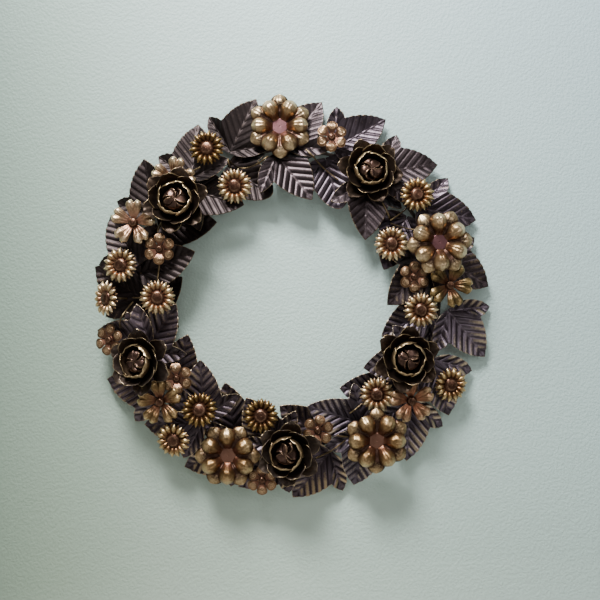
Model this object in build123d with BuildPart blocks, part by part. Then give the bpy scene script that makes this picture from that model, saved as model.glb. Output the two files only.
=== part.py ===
from build123d import *
import os
from math import sin, cos, tan, atan2, radians, hypot

os.makedirs("parts", exist_ok=True)

# ---------------------------------------------------------------- sizes, mm
# The wreath stands in the XZ plane, flowers towards -Y, wall at Y = 0.
# The origin is the centre of the hanging hole, on the wall plane.
hoop_radius = 211.0          # centre line of the round bar
bar_d = 5.5                  # hoop bar
hole_d = 8.0                 # hanging hole
hole_above_hoop = 12.0       # hole centre above the bar's centre line
tab_t = 2.0                  # hanger tab plate
tab_w = 20.0
hoop_z = -(hoop_radius + hole_above_hoop)
bar_y = -(tab_t + bar_d / 2)

leaf_l = 84.0                # base to main tip
sheet = 0.7                  # pressed leaf and rose sheet
petal_sheet = 0.8            # blossom, daisy and small flower sheet
main_fold = tan(radians(16)) # slope of the main lobe's halves
outer_fold = tan(radians(17))
side_at = radians(57)        # side lobe's angle from the main rib
sinus_at = atan2(0.345, 0.40)
inner_fold = main_fold * sin(sinus_at) / sin(side_at - sinus_at)
stem_r = 1.1                 # flower wire
post_r = 1.5                 # stand-off posts under the flowers

# ---------------------------------------------------------------- placing
# Leaf pairs, clockwise from the top: outer leaf's base, rib direction and
# facing direction, then the same for the inner leaf.
leaf_pairs = [
    ((-5.286, -22.898, -12.314), (0.602308, 0.139173, 0.786038), (-0.054473, -0.975224, 0.21441),
     (-19.153, -20.462, -22.048), (0.597106, -0.173648, -0.783142), (0.034403, -0.969846, 0.241277)),
    ((62.615, -13.376, -12.602), (0.86768, 0.034899, 0.495896), (-0.021733, -0.993916, 0.107975),
     (50.195, -8.4, -26.829), (0.257389, -0.173648, -0.950577), (-0.045385, -0.984808, 0.167612)),
    ((125.673, -19.613, -46.496), (0.987017, 0.087156, 0.134916), (0.061524, -0.98106, 0.183673),
     (108.153, -20.962, -60.804), (-0.044994, -0.173648, -0.983779), (0.18128, -0.969846, 0.162898)),
    ((181.102, -12.745, -96.262), (0.979005, 0.034899, -0.200827), (0.055005, -0.993916, 0.095422),
     (164.503, -8.4, -108.737), (-0.40018, -0.173648, -0.899834), (0.070563, -0.984808, 0.158665)),
    ((208.077, -19.113, -164.696), (0.86111, 0.087156, -0.500892), (0.161504, -0.98106, 0.106945),
     (192.435, -19.847, -174.108), (-0.690022, -0.173648, -0.702649), (0.243717, -0.969846, 0.000344)),
    ((222.839, -12.868, -241.165), (0.624692, 0.034899, -0.780091), (0.103287, -0.993916, 0.038246),
     (200.258, -8.4, -238.402), (-0.870712, -0.173648, -0.460115), (0.15353, -0.984808, 0.081131)),
    ((200.003, -19.761, -309.032), (0.284657, 0.087156, -0.954659), (0.190934, -0.98106, -0.032634),
     (182.363, -20.1, -304.39), (-0.967176, -0.173648, -0.185518), (0.20066, -0.969846, -0.138324)),
    ((168.454, -11.672, -369.326), (-0.053585, -0.017452, -0.998411), (0.17432, -0.984658, 0.007856),
     (150.616, -8.4, -357.135), (-0.979667, -0.173648, 0.100498), (0.172742, -0.984808, -0.01772)),
    ((105.175, -34.74, -406.832), (-0.184578, 0.241922, -0.952578), (0.056851, -0.96498, -0.256088),
     (101.679, -22.344, -398.94), (-0.930423, -0.173648, 0.322736), (0.128905, -0.979413, -0.155351)),
    ((56.145, -16.743, -438.802), (-0.627376, 0.034899, -0.777934), (0.113594, -0.984208, -0.135762),
     (49.88, -8.951, -424.342), (-0.772788, -0.173648, 0.610446), (0.136263, -0.984808, -0.107638)),
    ((-6.765, -33.692, -436.81), (-0.784408, 0.139173, -0.604429), (-0.002577, -0.975224, -0.221206),
     (-19.862, -22.645, -431.953), (-0.487245, -0.173648, 0.855826), (-0.005394, -0.979413, -0.201795)),
    ((-70.564, -16.536, -431.633), (-0.936927, 0.034899, -0.347779), (0.028207, -0.984208, -0.174755),
     (-75.34, -8.951, -421.854), (-0.181087, -0.173648, 0.968015), (0.031931, -0.984808, -0.170687)),
    ((-120.3, -37.568, -394.213), (-0.988453, 0.139173, -0.059924), (-0.1263, -0.975224, -0.181624),
     (-121.141, -25.849, -390.101), (-0.026191, -0.173648, 0.984459), (-0.047706, -0.983458, -0.174741)),
    ((-177.242, -18.515, -355.553), (-0.971972, 0.087156, 0.218344), (-0.121804, -0.98106, -0.150614),
     (-166.268, -8.951, -352.447), (0.284882, -0.173648, 0.942703), (-0.050232, -0.984808, -0.166224)),
    ((-190.571, -43.851, -288.526), (-0.938012, 0.241922, 0.248208), (-0.27474, -0.955555, -0.106926),
     (-203.263, -27.298, -298.326), (0.565675, -0.173648, 0.806138), (-0.099744, -0.984808, -0.142144)),
    ((-206.328, -23.504, -224.538), (-0.825407, 0.139173, 0.547114), (-0.21018, -0.975224, -0.069015),
     (-213.479, -8.951, -245.584), (0.758847, -0.173648, 0.627692), (-0.133805, -0.984808, -0.110679)),
    ((-207.507, -43.357, -175.706), (-0.513359, 0.241922, 0.823369), (-0.273404, -0.955555, 0.110297),
     (-206.659, -32.1, -188.496), (0.920695, -0.173648, 0.349524), (-0.180696, -0.983458, -0.012617)),
    ((-189.983, -15.44, -108.889), (-0.189536, 0.034899, 0.981253), (-0.177015, -0.984208, 0.000813),
     (-183.99, -8.951, -122.534), (0.982759, -0.173648, 0.063488), (-0.173287, -0.984808, -0.011195)),
    ((-137.09, -38.117, -60.013), (0.100574, 0.241922, 0.965069), (-0.148018, -0.955555, 0.254962),
     (-141.824, -25.782, -71.99), (0.945746, -0.173648, -0.274609), (-0.166761, -0.984808, 0.048421)),
    ((-84.282, -13.407, -16.93), (0.434231, 0.034899, 0.900125), (-0.141467, -0.984208, 0.106405),
     (-87.319, -8.764, -38.783), (0.823914, -0.173648, -0.539456), (-0.145278, -0.984808, 0.095121)),
]
# Flowers: back centre, first petal's direction, facing direction, and the
# length of the post behind.
rose_at = [
    ((-154.087, -53.705, -91.735), (0.944226, -0.03231, 0.327708), (-0.052264, -0.997265, 0.052264), 5.1),  # R1
    ((110.328, -24.51, -47.797), (0.642397, 0.062463, 0.763822), (0.034852, -0.998023, 0.052304), 22),  # R2
    ((158.701, -48.341, -305.907), (0.92662, 0.019245, 0.375507), (0.034878, -0.998783, -0.034878), 20),  # R3
    ((-0.925, -38.824, -434.835), (0.913545, -0.028373, 0.405746), (0, -0.997564, -0.069756), 13),  # R4
    ((-199.548, -48.381, -310.05), (0.777677, -0.222995, 0.587785), (-0.275637, -0.961262, 0), 4.3),  # R5
]
blossom_at = [
    ((-14.277, -25.589, 15.64), (1, -0, 0), (0, -0.997564, 0.069756), 6.2),  # L1
    ((203.355, -54.179, -147.339), (0.817157, 0.057141, 0.573576), (0.069756, -0.997564, 0), 35.9),  # L2
    ((118.844, -47.485, -418.02), (0.998636, 0.052082, 0.003642), (0.052209, -0.996204, -0.069661), 14.1),  # L3
    ((-85.467, -38.386, -439.816), (0.8655, -0.064955, 0.496679), (-0.034815, -0.996959, -0.069714), 21.1),  # L4
]
notched_at = {
    "notched_flowers_1": [
        ((-212.957, -51.826, -120.265), (0.086824, 0.02718, 0.995853), (-0.087103, -0.995592, 0.034767), 6.8),  # M1
        ((-159.599, -42.053, -60.403), (0.173648, -0, 0.984808), (0, -1, 0), 3.5),  # M5
    ],
    "notched_flower_2": [
        ((219.391, -44.075, -205.004), (0.340152, -0.013526, 0.940273), (0.104387, -0.993174, -0.05205), 16.3),  # M2
    ],
    "notched_flower_3": [
        ((167.033, -42.107, -363.851), (0.905075, 0.010239, 0.425128), (0.052137, -0.99484, -0.087037), 27.1),  # M3
    ],
    "notched_flower_4": [
        ((-177.367, -47.044, -365.283), (-0.086826, -0.061932, 0.994297), (-0.086945, -0.993786, -0.069492), 21.5),  # M4
    ],
}
ringed_at = {
    "ringed_flowers_left": [
        ((-177.339, -52.267, -156.254), (0.881738, -0.04621, 0.469472), (-0.052336, -0.99863, 0), 7.4),  # S1
        ((-248.618, -38.303, -280.736), (0.871565, -0.326564, 0.365691), (-0.373822, -0.925241, 0.064699), 6.9),  # S6
        ((-155.009, -45.722, -333.48), (0.818032, 0.072773, 0.57055), (0.052264, -0.997265, 0.052264), 31),  # S5
    ],
    "ringed_flowers_right": [
        ((57.976, -31.155, 0.276), (0.891007, 0.039568, 0.452263), (0, -0.996195, 0.087156), 16.4),  # S2
        ((171.812, -36.511, -193.999), (0.861281, 0.090524, 0.5), (0.104528, -0.994522, 0), 8.9),  # S3
    ],
    "ringed_flowers_bottom": [
        ((38.735, -38.655, -405.814), (0.939693, -0, 0.34202), (0, -1, 0), 22.7),  # S4
        ((-38.439, -33.659, -474.399), (0.866025, -0.069587, 0.495134), (0, -0.990268, -0.139173), 4.8),  # S7
    ],
}
daisy_at = {
    "daisies_top": [
        ((-113.971, -42.325, -17.45), (0.992126, -0.057692, 0.111168), (-0.069376, -0.992126, 0.104277), 3.8),  # D1
        ((-75.538, -44.406, -69.594), (0.998636, 0.052082, 0.003642), (0.052209, -0.996204, -0.069661), 1.8),  # D2
    ],
    "daisies_left": [
        ((-231.704, -44.544, -178.028), (0.963313, -0.198449, 0.180684), (-0.207791, -0.977577, 0.034138), 5),  # D3
        ((-249.267, -48.627, -223.484), (0.764995, -0.641907, 0.052336), (-0.642788, -0.766044, 0), 33.7),  # D4
        ((-180.401, -50.89, -222.409), (0.987856, 0.069078, 0.139173), (0.069756, -0.997564, 0), 10.4),  # D5
    ],
    "daisies_right": [
        ((176.432, -30.094, -79.657), (0.975776, 0.082404, 0.202657), (0.069587, -0.995146, 0.069587), 27.7),  # D6
        ((140.463, -39.438, -148.514), (0.993771, -0.066365, 0.089526), (-0.069714, -0.996959, 0.034815), 20.5),  # D7
        ((180.385, -39.554, -239.694), (1, -0, 0), (0, -0.99863, -0.052336), 23.7),  # D8
    ],
    "daisies_low_right": [
        ((120.443, -36.908, -356.262), (0.986338, -0.043363, 0.158922), (-0.052264, -0.997265, 0.052264), 21.3),  # D9
        ((223.639, -24.437, -343.802), (0.96807, 0.235327, 0.086382), (0.241367, -0.96807, -0.067694), 6.3),  # D10
    ],
    "daisies_low_left": [
        ((-39.529, -42.898, -384.94), (0.981627, 0.01331, 0.190344), (0, -0.997564, 0.069756), 7.2),  # D11
        ((-122.728, -52.609, -375.693), (0.998818, 0.041281, 0.025675), (0.033864, -0.969739, 0.241783), 8),  # D12
        ((-159.998, -38.549, -418.534), (0.964284, -0.255368, 0.070312), (-0.236935, -0.950295, -0.201991), 3.6),  # D13
    ],
}
# Visible bent wires between the flowers, as points on their centre lines.
wire_runs = [
    [(22.18, -31.16, -16.77), (26.32, -33.27, -21.09), (30.55, -34.27, -25.35), (34.88, -29.49, -29.57), (39.29, -23.61, -33.75), (43.8, -19.41, -37.88), (48.39, -17.45, -41.96), (53.08, -17.22, -46), (57.86, -17.98, -50), (62.73, -19.27, -53.94), (67.69, -20.84, -57.85)],
    [(-30.05, -29.22, -26.18), (-37.26, -31.75, -31.57), (-44.19, -28.38, -35.8), (-50.86, -25.36, -38.88), (-57.25, -22.83, -40.8), (-63.37, -21.09, -41.56), (-69.21, -21.12, -41.17), (-74.79, -24.7, -39.63), (-80.09, -32.89, -36.92), (-85.12, -44.53, -33.07)],
    [(-122.72, -43.93, -43.61), (-128.14, -43.18, -45.97), (-133.05, -42.19, -48.43), (-137.43, -41.16, -50.96)],
    [(-85.12, -44.9, -34.44), (-84.02, -45.7, -37.47), (-82.92, -45.19, -40.5), (-81.82, -32.67, -43.53), (-80.71, -23.24, -46.56), (-79.61, -16.91, -49.59)],
    [(140.65, -17.71, -114.29), (146.66, -15.86, -110.27), (152, -14.36, -106.47), (156.68, -13.34, -102.89), (160.7, -12.72, -99.53), (164.06, -12.3, -96.39)],
    [(140.65, -20.32, -118.42), (148.61, -18.78, -121.17), (155.95, -17.83, -123.47), (162.68, -17.8, -125.3), (168.8, -18.7, -126.68), (174.31, -20.34, -127.6), (179.2, -22.37, -128.06)],
    [(137.9, -15.76, -111.54), (135.15, -34.36, -105.31), (132.39, -33.41, -99.31), (129.64, -32.36, -93.53), (126.89, -31.06, -87.97), (124.13, -29.76, -82.63)],
    [(-218.66, -26.22, -222.43), (-211.31, -27.56, -222.89), (-203.51, -29.15, -223.05)],
    [(-214.53, -47.28, -228.55), (-220.65, -44.38, -235.15), (-225.54, -44.55, -241.47), (-229.21, -47.78, -247.52), (-231.66, -47.78, -253.3), (-232.88, -45.75, -258.81), (-232.88, -43.89, -264.04)],
    [(-177.36, -14.58, -123.93), (-178.18, -50.4, -126.96), (-179.01, -51.42, -129.98), (-179.83, -51.96, -133.01)],
    [(-178.73, -42.53, -172.11), (-179.28, -42.87, -178.17), (-179.83, -43.48, -184.22), (-180.39, -44.44, -190.28), (-180.94, -45.62, -196.34), (-181.49, -45.77, -202.4)],
    [(64.39, -42.49, -411.93), (69.62, -42.59, -412.75), (74.85, -41.46, -413.58), (80.08, -40.34, -414.4)],
    [(77.33, -37.95, -418.53), (71.56, -37.93, -423.18), (65.97, -37.98, -427.48), (60.55, -38.1, -431.44), (55.3, -37.29, -435.05), (50.22, -31.78, -438.32), (45.32, -27.82, -441.25), (40.59, -25.99, -443.83), (36.03, -25.62, -446.07)],
    [(100.73, -32.53, -368.97), (97.15, -33.48, -371.73), (93.57, -34.77, -374.48), (89.99, -36.4, -377.23), (86.41, -35.17, -379.99), (82.83, -33.94, -382.74)],
    [(-155.33, -45.61, -378.61), (-152.58, -45.92, -378.89), (-149.82, -46.15, -379.16), (-147.07, -46.15, -379.44), (-144.32, -45.85, -379.71), (-141.56, -45.56, -379.99)],
]
# Leaf stand-offs: x, y at the foot, y at the leaf, z.
leaf_posts = [
    (-206.33, -16.41, -23.5, -224.54),
    (-189.98, -11.48, -15.44, -108.89),
    (-19.86, -7.5, -22.64, -431.95),
    (-206.66, -27.35, -32.1, -188.5),
    (-5.29, -20.45, -22.9, -12.31),
    (105.17, -7.5, -34.74, -406.83),
    (-6.76, -18.76, -33.69, -436.81),
    (-120.3, -26.73, -37.57, -394.21),
    (-190.57, -32.12, -43.85, -288.53),
    (-207.51, -33.64, -43.36, -175.71),
    (-137.09, -28.25, -38.12, -60.01),
]


# ---------------------------------------------------------------- hoop
with BuildPart() as hoop:
    with BuildSketch(Plane(origin=(hoop_radius, bar_y, hoop_z), x_dir=(1, 0, 0), z_dir=(0, 0, 1))):
        Circle(bar_d / 2)
    revolve(axis=Axis((0, bar_y, hoop_z), (0, 1, 0)))
hoop.part.label = "hoop"
export_step(hoop.part, "parts/hoop.step")

# ---------------------------------------------------------------- hanger tab
# A punched plate against the wall, welded behind the hoop's top.
with BuildPart() as hanger_tab:
    with BuildSketch(Plane(origin=(0, 0, 0), x_dir=(1, 0, 0), z_dir=(0, -1, 0))) as tab_face:
        with Locations((0, -8.0)):
            RectangleRounded(tab_w, 36.0, 6.0)
        Circle(hole_d / 2, mode=Mode.SUBTRACT)
    extrude(amount=tab_t)
hanger_tab.part.label = "hanger_tab"
export_step(hanger_tab.part, "parts/hanger_tab.step")


# ---------------------------------------------------------------- leaf
# Three lobes, each folded to a V along its rib, cut from one sheet.  Every
# facet is a flat area through the leaf's base point.  The edge of each lobe
# is nicked between the pressed ribs.
def nicked(points, depth, steps):
    out = [points[0]]
    for (ax, ay), (bx, by) in zip(points, points[1:]):
        lx, ly = bx - ax, by - ay
        ll = hypot(lx, ly)
        for s in range(steps):
            f = (s + 0.62) / steps
            out.append((ax + lx * f, ay + ly * f))
            f = (s + 0.72) / steps
            out.append((ax + lx * f - ly / ll * depth * 0.0, ay + ly * f - abs(depth)))
        out.append((bx, by))
    return out


def side_point(a, t):
    return (a * cos(side_at) + t * sin(side_at), a * sin(side_at) - t * cos(side_at))


main_edge = nicked([(0.40, 0.345), (0.53, 0.310), (0.66, 0.262), (0.79, 0.190), (0.90, 0.108), (1.0, 0.0)], 0.010, 1)
inner_edge = [side_point(a, t) for a, t in [(0.73, 0.0), (0.68, 0.050), (0.60, 0.110)]] + [(0.40, 0.345)]
outer_edge = [side_point(a, t) for a, t in [(0.73, 0.0), (0.68, -0.046), (0.58, -0.108), (0.42, -0.155), (0.25, -0.155), (0.11, -0.11), (0.02, -0.045)]]
base = Vector(0, 0, -sheet)


def facet_plane(along, normal):
    return Plane(origin=base, x_dir=along, z_dir=normal)


def flat(points, along, normal, slope):
    # leaf-plan points (in leaf lengths) -> the facet's own 2-D coordinates
    x_dir = Vector(*along).normalized()
    y_dir = Vector(*normal).normalized().cross(x_dir)
    out = []
    for px, py in points:
        p = Vector(px * leaf_l, py * leaf_l, slope(px * leaf_l, py * leaf_l))
        out.append((p.dot(x_dir), p.dot(y_dir)))
    return out


rib = (cos(side_at), sin(side_at))
with BuildPart() as leaf:
    for m in (1, -1):
        # main lobe half
        nrm = (0, -main_fold * m, 1)
        pts = flat([(x, y * m) for x, y in [(0, 0)] + main_edge], (1, 0, 0), nrm, lambda x, y: abs(y) * main_fold)
        with BuildSketch(facet_plane((1, 0, 0), nrm)):
            with BuildLine():
                Polyline(*pts, close=True)
            make_face()
        extrude(amount=sheet, dir=(0, 0, 1))
        # side lobe, half nearer the main lobe
        nrm = (-rib[1] * inner_fold, rib[0] * inner_fold * m, 1)
        pts = flat([(x, y * m) for x, y in [(0, 0)] + inner_edge], (rib[0], rib[1] * m, 0), nrm,
                   lambda x, y: (x * rib[1] - abs(y) * rib[0]) * inner_fold)
        with BuildSketch(facet_plane((rib[0], rib[1] * m, 0), nrm)):
            with BuildLine():
                Polyline(*pts, close=True)
            make_face()
        extrude(amount=sheet, dir=(0, 0, 1))
        # side lobe, outer half
        nrm = (rib[1] * outer_fold, -rib[0] * outer_fold * m, 1)
        pts = flat([(x, y * m) for x, y in [(0, 0)] + outer_edge], (rib[0], rib[1] * m, 0), nrm,
                   lambda x, y: -(x * rib[1] - abs(y) * rib[0]) * outer_fold)
        with BuildSketch(facet_plane((rib[0], rib[1] * m, 0), nrm)):
            with BuildLine():
                Polyline(*pts, close=True)
            make_face()
        extrude(amount=sheet, dir=(0, 0, 1))

for i, (ob, ox, oz, ib, ix, iz) in enumerate(leaf_pairs):
    name = f"leaf_pair_{i + 1:02d}"
    with BuildPart() as pair:
        with Locations(Plane(origin=ob, x_dir=ox, z_dir=oz), Plane(origin=ib, x_dir=ix, z_dir=iz)):
            add(leaf.part)
    pair.part.label = name
    export_step(pair.part, f"parts/{name}.step")


# ---------------------------------------------------------------- pressed flowers
def stamping(count, flat_r, z0, t, rows):
    # One pressed sheet: a flat hub and count petals.  rows runs along one
    # petal: distance from the centre, height of the sheet, half width.
    with BuildPart() as petal:
        with BuildSketch(Plane.XZ):
            with BuildLine():
                lower = [(rows[0][0] - 1.5, rows[0][1])] + [(r, z) for r, z, w in rows]
                Polyline(*lower, *[(r, z + t) for r, z in lower[::-1]], close=True)
            make_face()
        extrude(amount=40, both=True)
        with BuildSketch(Plane.XY.offset(-30)):
            with BuildLine():
                edge = [(rows[0][0] - 1.5, (rows[0][0] - 1.5) * 0.4)] + [(r, w) for r, z, w in rows]
                edge = [p for p in edge]
                Polyline(*edge, *[(r, -w) for r, w in edge[::-1]], close=True)
            make_face()
        extrude(amount=90, mode=Mode.INTERSECT)
    with BuildPart() as press:
        with BuildSketch(Plane.XY.offset(z0)):
            RegularPolygon(flat_r, count, rotation=180.0 / count)
        extrude(amount=t)
        with PolarLocations(0, count):
            add(petal.part)
    return press


def dome(r, z0, h):
    # a pressed stud: flat underneath, rounded on top
    with BuildPart() as d:
        with BuildSketch(Plane.XY.offset(z0)):
            Circle(r)
        extrude(amount=h * 0.3)
        with BuildSketch(Plane.XY.offset(z0 + h * 0.3)):
            Circle(r)
        extrude(amount=h * 0.7, taper=38)
    return d


# rose: an open outer layer, a standing middle layer, a tight inner cup, a bud
rose_outer = stamping(6, 8.2, 0.0, sheet, [(7.6, 0.0, 3.6), (14, 1.0, 7.4), (24, 4.2, 13.2), (32, 8.2, 15.6), (38, 11.2, 13.8), (43.2, 12.4, 5.5)])
rose_middle = stamping(6, 6.6, sheet, sheet, [(5.8, 0.7, 3.0), (13, 3.0, 7.2), (21.5, 8.6, 12.0), (27.0, 15.6, 13.6), (30.6, 22.6, 7.0)])
rose_inner = stamping(6, 5.0, 2 * sheet, sheet, [(4.4, 1.4, 2.4), (10.4, 4.4, 5.8), (14.8, 10.0, 8.2), (17.6, 17.6, 8.8), (19.0, 24.6, 4.6)])
with BuildPart() as rose_bud:
    with BuildSketch(Plane.XY.offset(3 * sheet)) as foot:
        RegularPolygon(3.4, 7)
    with BuildSketch(Plane.XY.offset(10.5)) as waist:
        RegularPolygon(10.6, 7)
    loft()
    with BuildSketch(Plane.XY.offset(10.5)) as waist2:
        RegularPolygon(10.6, 7)
    with BuildSketch(Plane.XY.offset(19.0)) as shoulder:
        RegularPolygon(11.6, 7)
    loft()
    with BuildSketch(Plane.XY.offset(19.0)) as shoulder2:
        RegularPolygon(11.6, 7)
    with BuildSketch(Plane.XY.offset(24.4)) as crown:
        RegularPolygon(6.4, 7)
    loft()

for i, (o, x, n, post) in enumerate(rose_at):
    at = Plane(origin=o, x_dir=x, z_dir=n)
    with BuildPart() as piece:
        with Locations(at):
            add(rose_outer.part)
    piece.part.label = f"rose_{i + 1}_outer_petals"
    export_step(piece.part, f"parts/rose_{i + 1}_outer_petals.step")
    with BuildPart() as piece:
        with Locations(at.location * Rotation(0, 0, 30)):
            add(rose_middle.part)
        with Locations(at.location * Rotation(0, 0, 12)):
            add(rose_inner.part)
    piece.part.label = f"rose_{i + 1}_inner_petals"
    export_step(piece.part, f"parts/rose_{i + 1}_inner_petals.step")
    with BuildPart() as piece:
        with Locations(at):
            add(rose_bud.part)
    piece.part.label = f"rose_{i + 1}_bud"
    export_step(piece.part, f"parts/rose_{i + 1}_bud.step")

# large blossom: puffy teardrop petals in two layers, half a petal apart
blossom_front = stamping(6, 10.4, petal_sheet, petal_sheet, [(9.4, 0.8, 4.2), (13, 4.6, 5.8), (18, 9.8, 8.2), (25, 13.2, 10.8), (31, 12.2, 10.8), (36, 9.0, 7.2), (39.0, 6.2, 2.2)])
blossom_rear = stamping(6, 12.0, 0.0, petal_sheet, [(11.0, 0.0, 5.8), (18, 1.4, 9.8), (26, 4.2, 13.4), (35, 5.4, 12.0), (41, 4.2, 7.4), (45.0, 2.6, 2.4)])
for i, (o, x, n, post) in enumerate(blossom_at):
    at = Plane(origin=o, x_dir=x, z_dir=n)
    with BuildPart() as piece:
        with Locations(at):
            add(blossom_front.part)
    piece.part.label = f"blossom_{i + 1}_front_petals"
    export_step(piece.part, f"parts/blossom_{i + 1}_front_petals.step")
    with BuildPart() as piece:
        with Locations(at.location * Rotation(0, 0, 30)):
            add(blossom_rear.part)
    piece.part.label = f"blossom_{i + 1}_rear_petals"
    export_step(piece.part, f"parts/blossom_{i + 1}_rear_petals.step")


# five-petal flower, each petal notched into two rounded tips, domed stud
notched_flower = stamping(5, 7.6, 0.0, petal_sheet, [(6.6, 0.0, 3.6), (12, 2.2, 6.6), (20, 5.4, 9.0), (26, 5.2, 9.6), (31.0, 2.4, 5.2)])
notched_stud = dome(6.5, petal_sheet, 5.4)
for name, places in notched_at.items():
    with BuildPart() as piece:
        for o, x, n, post in places:
            with Locations(Plane(origin=o, x_dir=x, z_dir=n)):
                add(notched_flower.part, mode=Mode.ADD)
    studs = []
    with BuildPart() as studs_part:
        for o, x, n, post in places:
            with Locations(Plane(origin=o, x_dir=x, z_dir=n)):
                add(notched_stud.part)
    group = Compound(label=name, children=[s for s in piece.part.solids()] + [s for s in studs_part.part.solids()])
    export_step(group, f"parts/{name}.step")

# small six-petal flower with embossed rings, riveted centre
ringed_flower = stamping(6, 6.0, 0.0, petal_sheet, [(5.0, 0.0, 2.6), (9.4, 1.4, 4.8), (14, 2.6, 6.2), (18, 1.6, 5.2), (20.8, 0.6, 2.2)])
ringed_rivet = dome(4.4, petal_sheet, 3.2)
for name, places in ringed_at.items():
    with BuildPart() as piece:
        for o, x, n, post in places:
            with Locations(Plane(origin=o, x_dir=x, z_dir=n)):
                add(ringed_flower.part)
    with BuildPart() as rivets:
        for o, x, n, post in places:
            with Locations(Plane(origin=o, x_dir=x, z_dir=n)):
                add(ringed_rivet.part)
    group = Compound(label=name, children=[s for s in piece.part.solids()] + [s for s in rivets.part.solids()])
    export_step(group, f"parts/{name}.step")

# daisy: two discs of narrow pointed petals and a domed boss
daisy_rear = stamping(14, 9.8, 0.0, petal_sheet, [(9.2, 0.0, 1.9), (17, 0.9, 3.1), (24.4, -0.6, 0.3)])
daisy_front = stamping(14, 9.8, petal_sheet, petal_sheet, [(9.2, 0.8, 1.9), (13.4, 3.6, 2.8), (18.5, 3.5, 3.0), (23.4, 1.9, 0.4)])
daisy_boss = dome(8.9, 2 * petal_sheet, 5.4)
for name, places in daisy_at.items():
    with BuildPart() as rear:
        for o, x, n, post in places:
            with Locations(Plane(origin=o, x_dir=x, z_dir=n).location * Rotation(0, 0, 180.0 / 14)):
                add(daisy_rear.part)
    with BuildPart() as front:
        for o, x, n, post in places:
            with Locations(Plane(origin=o, x_dir=x, z_dir=n)):
                add(daisy_front.part)
    with BuildPart() as bosses:
        for o, x, n, post in places:
            with Locations(Plane(origin=o, x_dir=x, z_dir=n)):
                add(daisy_boss.part)
    group = Compound(label=name, children=[s for s in rear.part.solids()] + [s for s in front.part.solids()] + [s for s in bosses.part.solids()])
    export_step(group, f"parts/{name}.step")

# ---------------------------------------------------------------- stems
# Posts stand between each flower's back and the leaf, wire or wall side
# behind it; bent wires run between the flowers in front of the leaves.
posts = []
for o, x, n, post in (rose_at + blossom_at + [p for g in (notched_at, ringed_at, daisy_at) for places in g.values() for p in places]):
    posts.append((o, n, post))
with BuildPart() as flower_stems:
    for o, n, post in posts:
        if post > 1.0:
            with BuildSketch(Plane(origin=o, z_dir=(-n[0], -n[1], -n[2]))):
                Circle(post_r)
            extrude(amount=post - 0.45)
    for run in wire_runs:
        with BuildLine() as path:
            Spline(*run)
        with BuildSketch(Plane(origin=path.line @ 0, z_dir=path.line % 0)):
            Circle(stem_r)
        sweep(path=path.line)
flower_stems.part.label = "flower_stems"
export_step(flower_stems.part, "parts/flower_stems.step")

with BuildPart() as leaf_stems:
    for x, y0, y1, z in leaf_posts:
        # the foot stands on the hoop or on the leaf below
        with BuildSketch(Plane(origin=(x, y0 - 0.15, z), z_dir=(0, -1, 0))):
            Circle(post_r)
        extrude(amount=(y0 - 0.15) - (y1 + sheet + 0.85))
leaf_stems.part.label = "leaf_stems"
export_step(leaf_stems.part, "parts/leaf_stems.step")
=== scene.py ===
import bpy
import math
import numpy as np
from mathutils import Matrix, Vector


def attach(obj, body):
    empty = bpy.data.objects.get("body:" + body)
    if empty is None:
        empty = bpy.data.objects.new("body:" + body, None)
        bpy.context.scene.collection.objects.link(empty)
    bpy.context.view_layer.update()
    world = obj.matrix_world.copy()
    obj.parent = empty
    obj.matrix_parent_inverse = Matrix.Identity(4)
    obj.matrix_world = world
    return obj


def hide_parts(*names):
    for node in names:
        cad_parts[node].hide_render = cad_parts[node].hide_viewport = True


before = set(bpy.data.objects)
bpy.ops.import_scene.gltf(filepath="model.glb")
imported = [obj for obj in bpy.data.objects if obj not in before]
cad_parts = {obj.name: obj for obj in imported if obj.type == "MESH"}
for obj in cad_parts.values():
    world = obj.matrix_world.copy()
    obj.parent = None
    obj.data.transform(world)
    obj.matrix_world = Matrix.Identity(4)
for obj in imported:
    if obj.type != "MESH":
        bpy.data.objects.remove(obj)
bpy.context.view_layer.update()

MM = 0.001
LEAF = 84.0

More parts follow.
